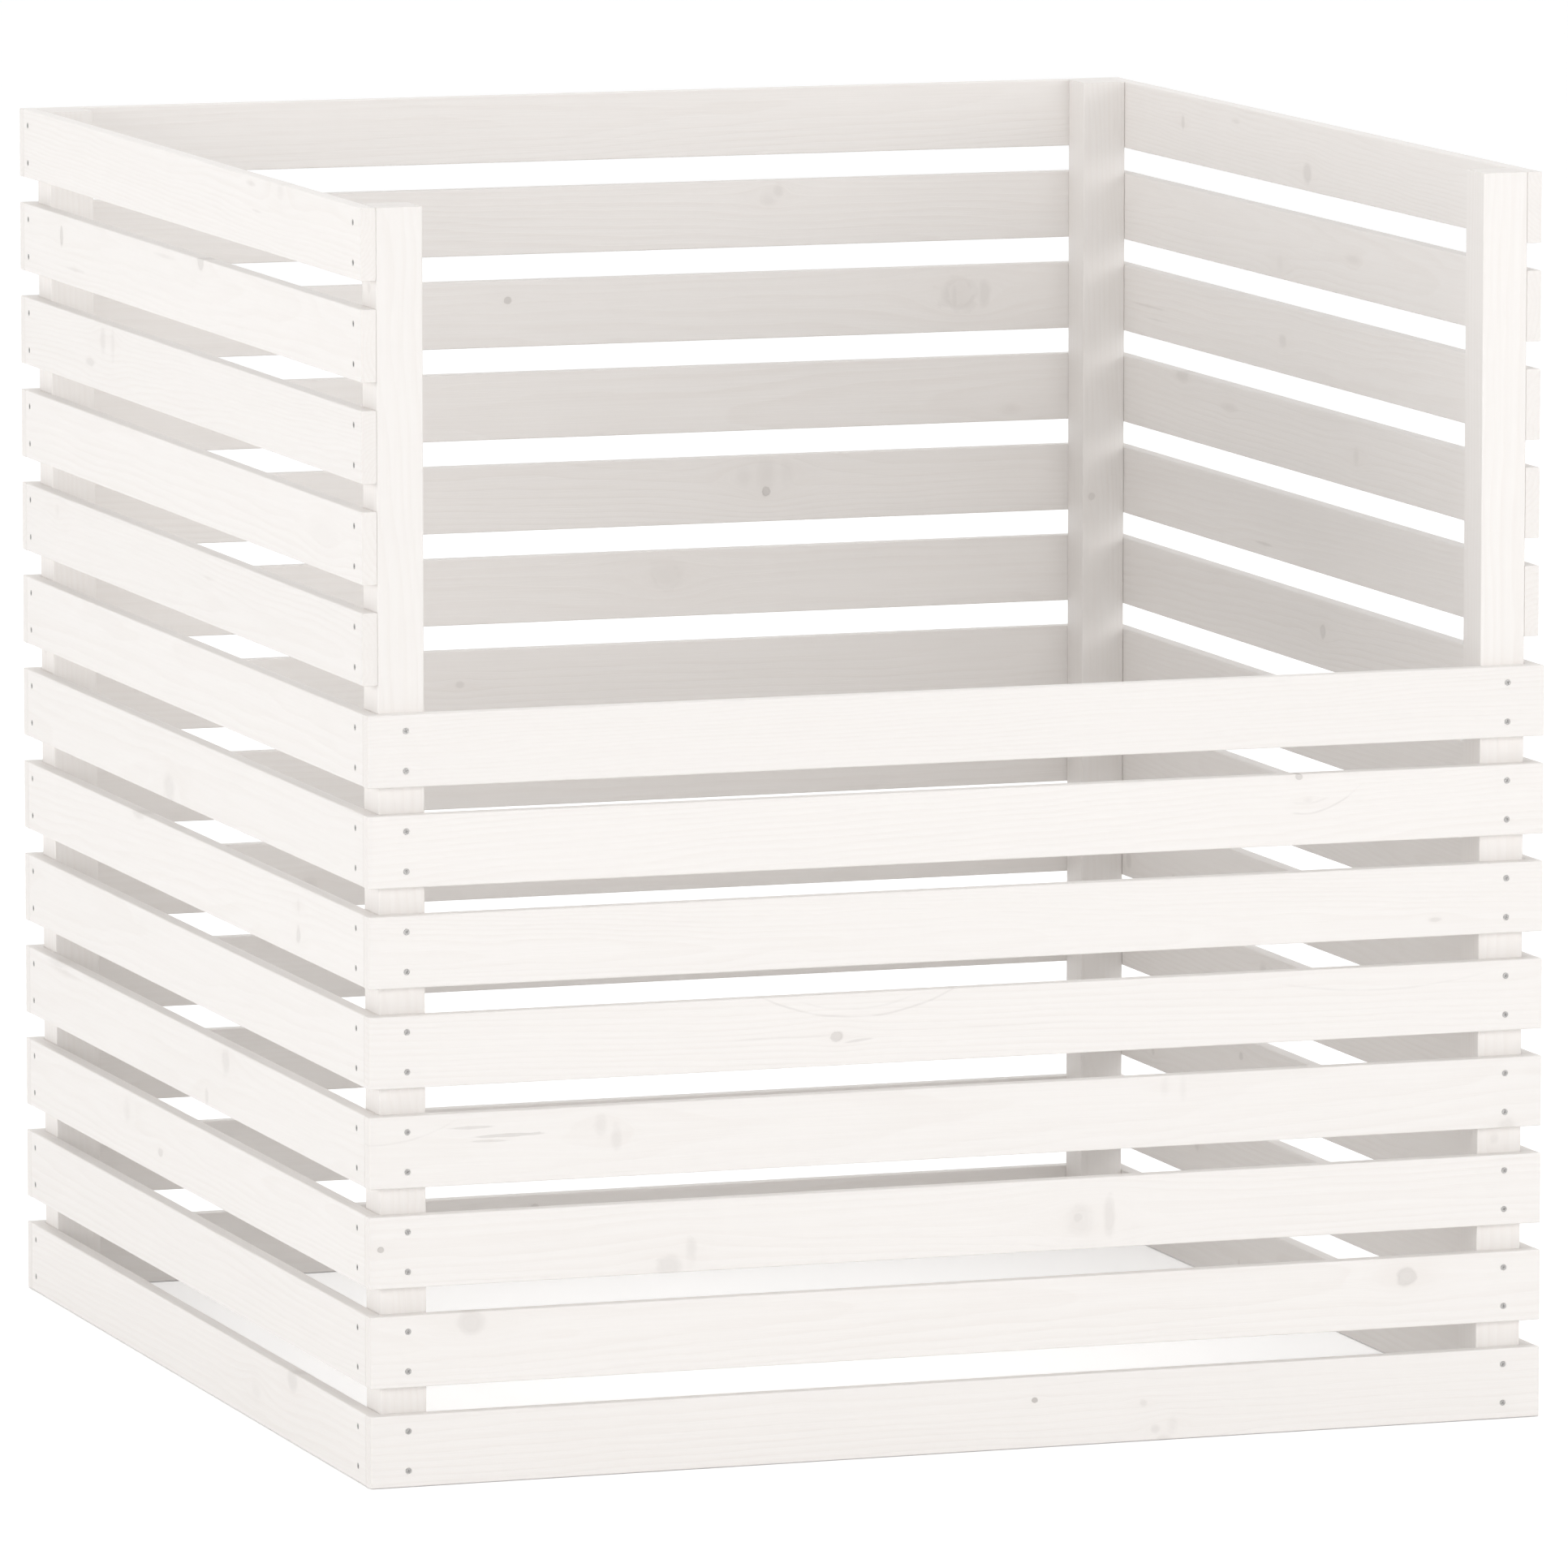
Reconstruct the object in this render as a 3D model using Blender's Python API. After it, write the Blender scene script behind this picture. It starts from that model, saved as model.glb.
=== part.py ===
"""Square compost bin of white-painted pine slats, open at the top and over the front.

Rows of level slats go round the left, right and back sides, and the front has the lower
rows only. Four square posts stand inside the corners. The front and back slats are as long
as the bin is wide and cover the ends of the side slats. Two countersunk screws hold each
end of each slat to its post. A post and the screws that stand in it are one solid.

Metres, with +Z up. The origin is on the ground under the middle of the bin, whose front
faces -Y.
"""

import math

import bmesh
import bpy
from mathutils import Matrix, Vector

# Overall size, outside the slats
WIDTH = 1.000
DEPTH = 1.000

# Slats: planed boards laid in level rows, counted from the ground up
SLAT_HEIGHT = 0.058
SLAT_THICKNESS = 0.0125
SLAT_EASING = 0.0012
ROW_GAP = 0.0222
ROWS = 13
FRONT_ROWS = 8

# Posts: square, inside the corners and as high as the tallest panel
POST_WIDTH = 0.038
POST_EASING = 0.0015

# Room between two wooden faces that touch
SEAT_GAP = 0.0003

# Countersunk wood screws, and how far they reach into their post
HEAD_RADIUS = 0.00235
HEAD_DEPTH = 0.0014
HEAD_RECESS = 0.0002
SHANK_RADIUS = 0.00125
SCREW_BITE = 0.0118
SCREW_SIDES = 6
SCREW_CLEARANCE = 0.0003

# Places of the screws: in from a slat's long edges, and on the side panels a little
# further back than the middle of the post, where they pass the other panels' screws
SCREW_EDGE_DISTANCE = 0.013
SIDE_SCREW_SHIFT_FRONT = 0.0023
SIDE_SCREW_SHIFT_BACK = 0.0068

# Finish of all the wood: linear colour, roughness and metallic value
WHITE_PAINT = ((0.90, 0.89, 0.88), 0.55, 0.0)

# Sizes that follow from the ones above
ROW_PITCH = SLAT_HEIGHT + ROW_GAP
HEIGHT = ROWS * SLAT_HEIGHT + (ROWS - 1) * ROW_GAP
POST_INSET = SLAT_THICKNESS + SEAT_GAP
POST_X = WIDTH / 2 - POST_INSET - POST_WIDTH / 2
POST_Y = DEPTH / 2 - POST_INSET - POST_WIDTH / 2
SIDE_SLAT_LENGTH = DEPTH - 2 * POST_INSET
SCREW_DROP = SLAT_HEIGHT / 2 - SCREW_EDGE_DISTANCE

# How far the cutter of a hole stands out of the slat's faces
CUTTER_PROUD = 0.0005


def clear_scene():
    """Starts from an empty scene."""
    for thing in list(bpy.data.objects):
        bpy.data.objects.remove(thing, do_unlink=True)


def finish(name, look):
    """A plain material from a colour, a roughness and a metallic value."""
    colour, roughness, metallic = look
    material = bpy.data.materials.new(name)
    material.use_nodes = True
    shader = material.node_tree.nodes["Principled BSDF"]
    shader.inputs["Base Color"].default_value = (*colour, 1.0)
    shader.inputs["Roughness"].default_value = roughness
    shader.inputs["Metallic"].default_value = metallic
    return material


def add_object(name, mesh, parent, place, turn=(0.0, 0.0, 0.0)):
    """Puts a mesh, or an empty where mesh is None, at a place in its parent's frame."""
    thing = bpy.data.objects.new(name, mesh)
    thing.parent = parent
    thing.location = place
    thing.rotation_euler = turn
    bpy.context.scene.collection.objects.link(thing)
    return thing


def board_mesh(name, size, easing, material):
    """A straight board centred on its origin, with its four long edges eased."""
    long_axis = max(range(3), key=lambda axis: size[axis])
    shape = bmesh.new()
    bmesh.ops.create_cube(shape, size=1.0, matrix=Matrix.Diagonal((*size, 1.0)))
    long_edges = [
        edge for edge in shape.edges
        if abs(edge.verts[1].co[long_axis] - edge.verts[0].co[long_axis]) > size[long_axis] / 2
    ]
    bmesh.ops.bevel(shape, geom=long_edges, offset=easing, segments=1, affect="EDGES")
    mesh = bpy.data.meshes.new(name)
    shape.to_mesh(mesh)
    shape.free()
    mesh.materials.append(material)
    return mesh


def screw_outline():
    """Radius and depth below the slat's face, from the head's rim to the end in the post."""
    neck = HEAD_RECESS + HEAD_DEPTH
    return [(HEAD_RADIUS, HEAD_RECESS), (SHANK_RADIUS, neck), (SHANK_RADIUS, POST_INSET + SCREW_BITE)]


def hole_outline():
    """A countersunk hole round a screw, standing out of both faces of the slat."""
    (_, top), (_, neck), _ = screw_outline()
    slope = (HEAD_RADIUS - SHANK_RADIUS) / HEAD_DEPTH
    mouth_radius = HEAD_RADIUS + SCREW_CLEARANCE + slope * (top + CUTTER_PROUD)
    bore_radius = SHANK_RADIUS + SCREW_CLEARANCE
    far_end = SLAT_THICKNESS + CUTTER_PROUD
    return [(mouth_radius, -CUTTER_PROUD), (bore_radius, neck), (bore_radius, far_end)]


def turned_mesh(name, outline, places):
    """Closed copies of one turned shape in a single mesh, each with its axis along +Y."""
    shape = bmesh.new()
    for place in places:
        rim = [shape.verts.new(place + Vector((radius, depth, 0.0))) for radius, depth in outline]
        edges = [shape.edges.new(pair) for pair in zip(rim, rim[1:])]
        bmesh.ops.spin(
            shape, geom=rim + edges, cent=place, axis=(0.0, 1.0, 0.0), angle=math.tau,
            steps=SCREW_SIDES, use_merge=True,
        )
    open_ends = [edge for edge in shape.edges if edge.is_boundary]
    bmesh.ops.holes_fill(shape, edges=open_ends, sides=SCREW_SIDES)
    bmesh.ops.recalc_face_normals(shape, faces=shape.faces)
    mesh = bpy.data.meshes.new(name)
    shape.to_mesh(mesh)
    shape.free()
    return mesh


def add_helper(name, mesh, parent):
    """An object that only shapes others."""
    helper = add_object(name, mesh, parent, (0.0, 0.0, 0.0))
    helper.display_type = "WIRE"
    helper.hide_render = True
    return helper


def combine(thing, operation, helper):
    """Drills a helper's shape out of a piece, or joins it to the piece."""
    change = thing.modifiers.new(helper.name, "BOOLEAN")
    change.operation = operation
    change.solver = "EXACT"
    change.object = helper


def row_middle(row):
    """Height of the middle of a row of slats above the ground."""
    return row * ROW_PITCH + SLAT_HEIGHT / 2


def screw_places(rows, column):
    """The screws of one column: two in each slat, on the panel's outer face."""
    return [
        Vector((column, 0.0, row_middle(row) + drop))
        for row in range(rows)
        for drop in (-SCREW_DROP, SCREW_DROP)
    ]


def add_panel(bin_frame, side, turn, distance, rows, slat_mesh, columns):
    """One side of the bin. Returns the screws that it puts into each corner's post.

    The panel's own frame lies on the ground at the middle of its outer face, with -Y
    pointing out of the bin. Columns are the screws' places along it, by corner.
    """
    middle = Matrix.Rotation(turn, 3, "Z") @ Vector((0.0, -distance, 0.0))
    frame = add_object(f"{side}_panel", None, bin_frame, middle, (0.0, 0.0, turn))
    all_places = [place for column in columns.values() for place in screw_places(rows, column)]
    holes = add_helper(f"{side}_holes", turned_mesh("holes", hole_outline(), all_places), frame)
    for row in range(rows):
        place = (0.0, SLAT_THICKNESS / 2, row_middle(row))
        slat = add_object(f"{side}_slat_{row + 1:02d}", slat_mesh, frame, place)
        combine(slat, "DIFFERENCE", holes)
    screws = {}
    for corner, column in columns.items():
        mesh = turned_mesh("screws", screw_outline(), screw_places(rows, column))
        screws[corner] = add_helper(f"{side}_screws_{corner}", mesh, frame)
    return screws


def build_bin():
    """Puts the four panels round the four posts."""
    slat_paint = finish("white_painted_slat", WHITE_PAINT)
    post_paint = finish("white_painted_post", WHITE_PAINT)
    bin_frame = add_object("compost_bin", None, None, (0.0, 0.0, 0.0))
    full_slat = board_mesh("full_slat", (WIDTH, SLAT_THICKNESS, SLAT_HEIGHT), SLAT_EASING, slat_paint)
    side_size = (SIDE_SLAT_LENGTH, SLAT_THICKNESS, SLAT_HEIGHT)
    side_slat = board_mesh("side_slat", side_size, SLAT_EASING, slat_paint)
    post = board_mesh("post", (POST_WIDTH, POST_WIDTH, HEIGHT), POST_EASING, post_paint)

    front_column = -POST_Y + SIDE_SCREW_SHIFT_FRONT
    back_column = POST_Y + SIDE_SCREW_SHIFT_BACK
    quarter = math.pi / 2
    panels = [
        add_panel(
            bin_frame, "front", 0.0, DEPTH / 2, FRONT_ROWS, full_slat,
            {"front_left": -POST_X, "front_right": POST_X},
        ),
        add_panel(
            bin_frame, "back", 2 * quarter, DEPTH / 2, ROWS, full_slat,
            {"back_right": -POST_X, "back_left": POST_X},
        ),
        add_panel(
            bin_frame, "right", quarter, WIDTH / 2, ROWS, side_slat,
            {"front_right": front_column, "back_right": back_column},
        ),
        add_panel(
            bin_frame, "left", -quarter, WIDTH / 2, ROWS, side_slat,
            {"front_left": -front_column, "back_left": -back_column},
        ),
    ]
    corners = {
        "front_left": (-POST_X, -POST_Y),
        "front_right": (POST_X, -POST_Y),
        "back_left": (-POST_X, POST_Y),
        "back_right": (POST_X, POST_Y),
    }
    for corner, (x, y) in corners.items():
        upright = add_object(f"post_{corner}", post, bin_frame, (x, y, HEIGHT / 2))
        for screws in panels:
            if corner in screws:
                combine(upright, "UNION", screws[corner])


clear_scene()
build_bin()
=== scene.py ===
import math
import random

import bmesh
import bpy
from mathutils import Euler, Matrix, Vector


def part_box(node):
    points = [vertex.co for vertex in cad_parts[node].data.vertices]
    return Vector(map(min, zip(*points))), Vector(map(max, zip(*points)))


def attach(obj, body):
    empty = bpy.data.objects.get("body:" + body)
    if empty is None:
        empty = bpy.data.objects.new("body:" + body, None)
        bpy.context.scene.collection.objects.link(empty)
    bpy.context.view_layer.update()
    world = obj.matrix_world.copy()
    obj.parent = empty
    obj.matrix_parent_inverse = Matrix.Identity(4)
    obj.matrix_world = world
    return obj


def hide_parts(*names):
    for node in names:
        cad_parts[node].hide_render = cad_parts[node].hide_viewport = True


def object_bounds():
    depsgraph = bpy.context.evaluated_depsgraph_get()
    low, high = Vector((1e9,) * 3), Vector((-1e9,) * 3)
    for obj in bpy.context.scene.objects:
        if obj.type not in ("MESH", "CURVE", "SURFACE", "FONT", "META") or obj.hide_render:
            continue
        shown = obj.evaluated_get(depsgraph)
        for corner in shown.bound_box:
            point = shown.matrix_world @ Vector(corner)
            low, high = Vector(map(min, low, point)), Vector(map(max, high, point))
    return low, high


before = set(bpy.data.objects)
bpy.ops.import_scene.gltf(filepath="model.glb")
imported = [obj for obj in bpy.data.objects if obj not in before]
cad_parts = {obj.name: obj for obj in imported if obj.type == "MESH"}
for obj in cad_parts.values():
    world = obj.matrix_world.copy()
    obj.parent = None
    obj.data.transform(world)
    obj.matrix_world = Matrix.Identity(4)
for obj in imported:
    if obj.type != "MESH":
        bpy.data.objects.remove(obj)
cad_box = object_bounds()


# The studio: a pale floor that runs out of sight in a white room that is brightest low down and
# overhead. Three wide soft lamps stand low on the left, low on the front right and high behind.
# The camera stands far back, a little left of the bin's front and above its rim.
VIEW_TURN = math.radians(18.92)
VIEW_TILT = math.radians(7.675)
VIEW_DISTANCE = 11.347
LENS_MM = 311.65
SENSOR_MM = 36.0
SIGHT_END = 300.0
AIM_RIGHT = 0.0176
AIM_UP = -0.0299
FLOOR_SIZE = 120.0
FLOOR_DROP = 0.0004
FLOOR_GREY = (0.85, 0.85, 0.85, 1.0)
FLOOR_GLOW = 0.19
WHITE = (1.0, 1.0, 1.0, 1.0)
LOW_LIGHT = 0.95
MIDDLE_LIGHT = 0.15
TOP_LIGHT = 1.65
LOW_TO_MIDDLE = (0.30, 0.55)
MIDDLE_TO_TOP = (0.72, 0.90)

bin_middle = (cad_box[0] + cad_box[1]) / 2
view_turned = Euler((math.pi / 2 - VIEW_TILT, 0.0, -VIEW_TURN))
aim = Vector((AIM_RIGHT, AIM_UP, VIEW_DISTANCE))
aim.rotate(view_turned)
bpy.ops.object.select_all(action="DESELECT")
bpy.ops.object.camera_add(location=bin_middle + aim, rotation=view_turned)
camera = bpy.context.object
camera.name = "camera"
camera.data.lens = LENS_MM
camera.data.sensor_width = SENSOR_MM
camera.data.clip_end = SIGHT_END
bpy.context.scene.camera = camera
bpy.context.scene.view_settings.view_transform = "Standard"


def feed(tree, socket, value):
    """Gives an input a number or a colour, or joins it to an output."""
    if isinstance(value, bpy.types.NodeSocket):
        tree.links.new(value, socket)
    else:
        socket.default_value = value


def add_node(tree, kind, *values, **settings):
    """Adds a node. Each value goes into the next input, and None leaves that one alone."""
    node = tree.nodes.new(kind)
    for name, setting in settings.items():
        setattr(node, name, setting)
    for socket, value in zip(node.inputs, values):
        if value is not None:
            feed(tree, socket, value)
    return node


def do_math(tree, operation, *values, clamp=False):
    """The output of one arithmetic node."""
    node = add_node(tree, "ShaderNodeMath", *values, operation=operation, use_clamp=clamp)
    return node.outputs[0]


def mix_colours(tree, share, first, second):
    """The output of a mix of two colours."""
    node = add_node(tree, "ShaderNodeMix", share, data_type="RGBA")
    colours_in = [socket for socket in node.inputs if socket.type == "RGBA"]
    colours_out = [socket for socket in node.outputs if socket.type == "RGBA"]
    for socket, colour in zip(colours_in, (first, second)):
        feed(tree, socket, colour)
    return colours_out[0]


def seen_directly(tree):
    """1 on rays from the camera, in a mirror image or through glass, and 0 on those of light."""
    rays = tree.nodes.new("ShaderNodeLightPath").outputs
    seen = do_math(tree, "ADD", rays["Is Camera Ray"], rays["Is Glossy Ray"], clamp=True)
    return do_math(tree, "ADD", seen, rays["Is Transmission Ray"], clamp=True)


def ramp(tree, value, low, high, to_low=0.0, to_high=1.0):
    """Passes smoothly from one value to another while what comes in goes from low to high."""
    values = (value, low, high, to_low, to_high)
    node = add_node(tree, "ShaderNodeMapRange", *values, interpolation_type="SMOOTHSTEP")
    return node.outputs[0]


room = bpy.data.worlds.new("white_room")
bpy.context.scene.world = room
room.use_nodes = True
tree = room.node_tree
room_light = tree.nodes["Background"]
room_light.inputs["Color"].default_value = WHITE
direction = tree.nodes.new("ShaderNodeTexCoord").outputs["Generated"]
steepness = add_node(tree, "ShaderNodeSeparateXYZ", direction).outputs[2]
light = ramp(tree, steepness, *LOW_TO_MIDDLE, LOW_LIGHT, MIDDLE_LIGHT)
top_light = ramp(tree, steepness, *MIDDLE_TO_TOP, 0.0, TOP_LIGHT - MIDDLE_LIGHT)
light = do_math(tree, "ADD", light, top_light)
seen = seen_directly(tree)
unseen_light = do_math(tree, "MULTIPLY", light, do_math(tree, "SUBTRACT", 1.0, seen))
tree.links.new(do_math(tree, "ADD", unseen_light, seen), room_light.inputs["Strength"])

bpy.ops.mesh.primitive_plane_add(size=FLOOR_SIZE, location=(0.0, 0.0, -FLOOR_DROP))
floor = bpy.context.object
floor.name = "floor"
floor_paper = bpy.data.materials.new("floor_paper")
floor_paper.use_nodes = True
tree = floor_paper.node_tree
paper = tree.nodes["Principled BSDF"]
paper.inputs["Roughness"].default_value = 1.0
paper.inputs["Specular IOR Level"].default_value = 0.0
paper.inputs["Emission Color"].default_value = WHITE
seen = seen_directly(tree)
tree.links.new(mix_colours(tree, seen, FLOOR_GREY, WHITE), paper.inputs["Base Color"])
tree.links.new(do_math(tree, "MULTIPLY", seen, FLOOR_GLOW), paper.inputs["Emission Strength"])
floor.data.materials.append(floor_paper)

LAMP_WIDTH = 6.0
LAMP_HEIGHT = 2.4
LAMPS = {
    "left_lamp": ((-7.6, -1.0, 2.2), 178.0),
    "front_right_lamp": ((1.9, -7.5, 2.2), 176.0),
    "back_lamp": ((1.8, 5.2, 6.0), 75.0),
}
for name, (place, watts) in LAMPS.items():
    facing_bin = (bin_middle - Vector(place)).to_track_quat("-Z", "Y").to_euler()
    bpy.ops.object.light_add(type="AREA", location=place, rotation=facing_bin)
    lamp = bpy.context.object
    lamp.name = name
    lamp.data.shape = "RECTANGLE"
    lamp.data.size = LAMP_WIDTH
    lamp.data.size_y = LAMP_HEIGHT
    lamp.data.energy = watts
    lamp.visible_camera = False


# The four posts: square planed pine, as high as the tallest panel, standing just inside the
# corners, their edges eased with sandpaper and painted white. They are a quarter of a millimetre
# fuller than the CAD's, and so meet the slats that are screwed to them without a dark joint.
POST_WIDTH = 0.03825
POST_ROUNDING = 0.0010
SEAT_GAP = 0.00005
draw = random.Random(47)


def start_effect(name, takes, gives):
    """Begins an effect that several finishes share: its tree, what comes in and what goes out."""
    tree = bpy.data.node_groups.new(name, "ShaderNodeTree")
    for title, kind in takes.items():
        tree.interface.new_socket(title, in_out="INPUT", socket_type="NodeSocket" + kind)
    for title, kind in gives.items():
        tree.interface.new_socket(title, in_out="OUTPUT", socket_type="NodeSocket" + kind)
    start = tree.nodes.new("NodeGroupInput")
    end = tree.nodes.new("NodeGroupOutput")
    return tree, start.outputs, end.inputs


def do_vectors(tree, operation, *values):
    """The output of one node of vector arithmetic."""
    return add_node(tree, "ShaderNodeVectorMath", *values, operation=operation).outputs[0]


def stretched_noise(tree, place, fineness, shift, detail=2.0, coarseness=0.55):
    """Noise with its own fineness along, through and across the grain."""
    scaled = do_vectors(tree, "MULTIPLY_ADD", place, fineness, shift)
    return add_node(tree, "ShaderNodeTexNoise", scaled, None, 1.0, detail, coarseness).outputs[0]


def squared_length(tree, along, across):
    """The square of a distance on the face of a board."""
    return do_math(tree, "MULTIPLY_ADD", along, along, do_math(tree, "MULTIPLY", across, across))


# On every board, x runs along the grain, y through the board and z across it, in metres from
# its middle. A knot pushes the grain aside and marks the wood. Stretched along the grain it is a
# streak of resin, and across it a knot that was sawn through lengthwise.
PUSH_SLIMNESS = 0.45
PUSH_REACH = 1.35
PUSH_INWARDS = 0.4
HALO_FADING = -0.5
tree, given, result = start_effect(
    "knot",
    {"Board": "Vector", "Along": "Float", "Across": "Float", "Radius": "Float",
     "Darkness": "Float", "Stretch": "Float", "Knots": "Float", "Haloes": "Float"},
    {"Board": "Vector", "Knots": "Float", "Haloes": "Float"},
)
place = add_node(tree, "ShaderNodeSeparateXYZ", given["Board"]).outputs
off_along = do_math(tree, "SUBTRACT", place[0], given["Along"])
off_across = do_math(tree, "SUBTRACT", place[2], given["Across"])
away = squared_length(tree, do_math(tree, "MULTIPLY", off_along, PUSH_SLIMNESS), off_across)
stoutness = do_math(tree, "MINIMUM", given["Stretch"], 1.0)
push = do_math(tree, "MULTIPLY", given["Radius"], stoutness)
reach = do_math(tree, "MULTIPLY", push, PUSH_REACH)
reach_squared = do_math(tree, "MULTIPLY", reach, reach)
past = do_math(tree, "DIVIDE", away, do_math(tree, "ADD", away, reach_squared))
new_across = do_math(tree, "MULTIPLY_ADD", off_across, past, given["Across"])
fading = do_math(tree, "DIVIDE", do_math(tree, "MULTIPLY", away, HALO_FADING), reach_squared)
nearness = do_math(tree, "EXPONENT", fading)
inwards = do_math(tree, "MULTIPLY", push, PUSH_INWARDS)
new_through = do_math(tree, "MULTIPLY_ADD", nearness, inwards, place[1])
bent = add_node(tree, "ShaderNodeCombineXYZ", place[0], new_through, new_across).outputs[0]
tree.links.new(bent, result["Board"])

# A dark knot ends sharply and a faint one, deeper under the face, softly. A big one is paler
# inside a dark ring of bark. Core and bark are measured in radii of the knot.
OUTLINE_FINENESS = (90.0, 130.0, 130.0)
OUTLINE_SHIFT = (3.0, 5.0, 7.0)
RAGGEDNESS = 1.3
LEAST_SCALE = 0.35
CORE_SLIMNESS = 0.9
FAINT_TO_DARK = (0.2, 1.0)
SOFT_TO_FIRM = (0.25, 0.80)
CORE_END = 1.12
HOLLOW_RADII_M = (0.0115, 0.0140)
HOLLOW_BARK = 0.30
HOLLOW_PALENESS = -0.6
BARK_STARTS = (0.60, 0.90)
BARK_ENDS = (0.95, 1.35)
BARK_PATCHES = (0.40, 0.65)
BARK_IN_PATCHES = (0.02, 0.35)
KNOT_RING_TURNS = 15.0
KNOT_RING_CONTRAST = 0.03
HEART_DARKNESS = 0.76
ragged = stretched_noise(tree, given["Board"], OUTLINE_FINENESS, OUTLINE_SHIFT)
slim_along = do_math(tree, "MULTIPLY", off_along, CORE_SLIMNESS)
core_along = do_math(tree, "DIVIDE", slim_along, given["Stretch"])
radii = do_math(tree, "SQRT", squared_length(tree, core_along, off_across))
radii = do_math(tree, "DIVIDE", radii, given["Radius"])
outline = do_math(tree, "MULTIPLY_ADD", ragged, RAGGEDNESS, LEAST_SCALE)
radii = do_math(tree, "MULTIPLY", radii, outline)
firmness = ramp(tree, given["Darkness"], *FAINT_TO_DARK, *SOFT_TO_FIRM)
heart = ramp(tree, radii, firmness, CORE_END, 1.0, 0.0)
hollow = ramp(tree, given["Radius"], *HOLLOW_RADII_M)
bark = ramp(tree, radii, *BARK_STARTS)
bark = do_math(tree, "MULTIPLY", bark, ramp(tree, radii, *BARK_ENDS, 1.0, 0.0))
bark_share = ramp(tree, ragged, *BARK_PATCHES, *BARK_IN_PATCHES)
bark_share = do_math(tree, "MULTIPLY_ADD", hollow, HOLLOW_BARK, bark_share)
own_rings = do_math(tree, "SINE", do_math(tree, "MULTIPLY", radii, KNOT_RING_TURNS))
own_rings = do_math(tree, "MULTIPLY_ADD", own_rings, KNOT_RING_CONTRAST, HEART_DARKNESS)
paleness = do_math(tree, "MULTIPLY_ADD", hollow, HOLLOW_PALENESS, 1.0)
pale_heart = do_math(tree, "MULTIPLY", own_rings, paleness)
mark = do_math(tree, "MULTIPLY", bark, bark_share)
mark = do_math(tree, "MULTIPLY_ADD", heart, pale_heart, mark)
mark = do_math(tree, "MULTIPLY", mark, given["Darkness"])
tree.links.new(do_math(tree, "MAXIMUM", given["Knots"], mark), result["Knots"])
tree.links.new(do_math(tree, "MAXIMUM", given["Haloes"], nearness), result["Haloes"])

# Where a slice of the log runs just under a growth ring, its late wood shows as a long bow,
# uneven and broken in places, that fades towards its ends.
BOW_WANDER = 0.0030
BOW_FINENESS = (22.0, 40.0, 40.0)
BOW_SHIFT = (11.0, 2.0, 8.0)
BOW_LINE = (0.0003, 0.0013)
BOW_FADES = (0.55, 1.0)
BREAK_FINENESS = (45.0, 90.0, 90.0)
BREAK_SHIFT = (4.0, 9.0, 1.0)
BREAK_BOUNDS = (0.30, 0.60)
SHOWS_IN_BREAKS = 0.45
tree, given, result = start_effect(
    "late_wood_bow",
    {"Board": "Vector", "Along": "Float", "Across": "Float", "Reach": "Float", "Rise": "Float",
     "Left Share": "Float", "Darkness": "Float", "Knots": "Float"},
    {"Knots": "Float"},
)
place = add_node(tree, "ShaderNodeSeparateXYZ", given["Board"]).outputs
off_middle = do_math(tree, "SUBTRACT", place[0], given["Along"])
share = do_math(tree, "DIVIDE", off_middle, given["Reach"])
climb = do_math(tree, "MULTIPLY", do_math(tree, "MULTIPLY", share, share), given["Rise"])
uneven = stretched_noise(tree, given["Board"], BOW_FINENESS, BOW_SHIFT)
climb = do_math(tree, "MULTIPLY_ADD", uneven, BOW_WANDER, climb)
line_across = do_math(tree, "ADD", climb, given["Across"])
beside = do_math(tree, "ABSOLUTE", do_math(tree, "SUBTRACT", place[2], line_across))
line = ramp(tree, beside, *BOW_LINE, 1.0, 0.0)
leftwards = do_math(tree, "MULTIPLY", given["Left Share"], -1.0)
far_out = do_math(tree, "MAXIMUM", share, do_math(tree, "DIVIDE", share, leftwards))
line = do_math(tree, "MULTIPLY", line, ramp(tree, far_out, *BOW_FADES, 1.0, 0.0))
broken = stretched_noise(tree, given["Board"], BREAK_FINENESS, BREAK_SHIFT)
unbroken = ramp(tree, broken, *BREAK_BOUNDS, SHOWS_IN_BREAKS, 1.0)
line = do_math(tree, "MULTIPLY", line, unbroken)
line = do_math(tree, "MULTIPLY", line, given["Darkness"])
tree.links.new(do_math(tree, "MAXIMUM", given["Knots"], line), result["Knots"])

# The grain of a board sawn out of a log: growth rings round the pith, which lies beside the
# board and leans along it, with fine fibres and broader streaks along the grain.
ACROSS_THE_LOG = (0.0, 1.0, 1.0)
RING_WANDER = 0.011
WANDER_FINENESS = (5.0, 24.0, 24.0)
LATE_WOOD_GROWS = (0.25, 0.88)
LATE_WOOD_ENDS = (0.90, 1.0)
STREAK_FINENESS = (7.0, 330.0, 330.0)
STREAK_BOUNDS = (0.32, 0.72)
FIBRE_FINENESS = (40.0, 1900.0, 1900.0)
CLOUD_FINENESS = (3.0, 22.0, 22.0)
CLOUD_BOUNDS = (0.3, 0.7)
PLAIN_NOISE = 1.0
tree, given, result = start_effect(
    "pine_grain",
    {"Board": "Vector", "Pith": "Vector", "Lean": "Vector", "Ring Width": "Float",
     "Shift": "Vector"},
    {"Rings": "Float", "Streaks": "Float", "Fibres": "Float", "Clouds": "Float"},
)
along = add_node(tree, "ShaderNodeSeparateXYZ", given["Board"]).outputs[0]
leaning = add_node(tree, "ShaderNodeVectorMath", given["Lean"], operation="SCALE")
tree.links.new(along, leaning.inputs["Scale"])
pith = do_vectors(tree, "ADD", given["Pith"], leaning.outputs[0])
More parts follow.
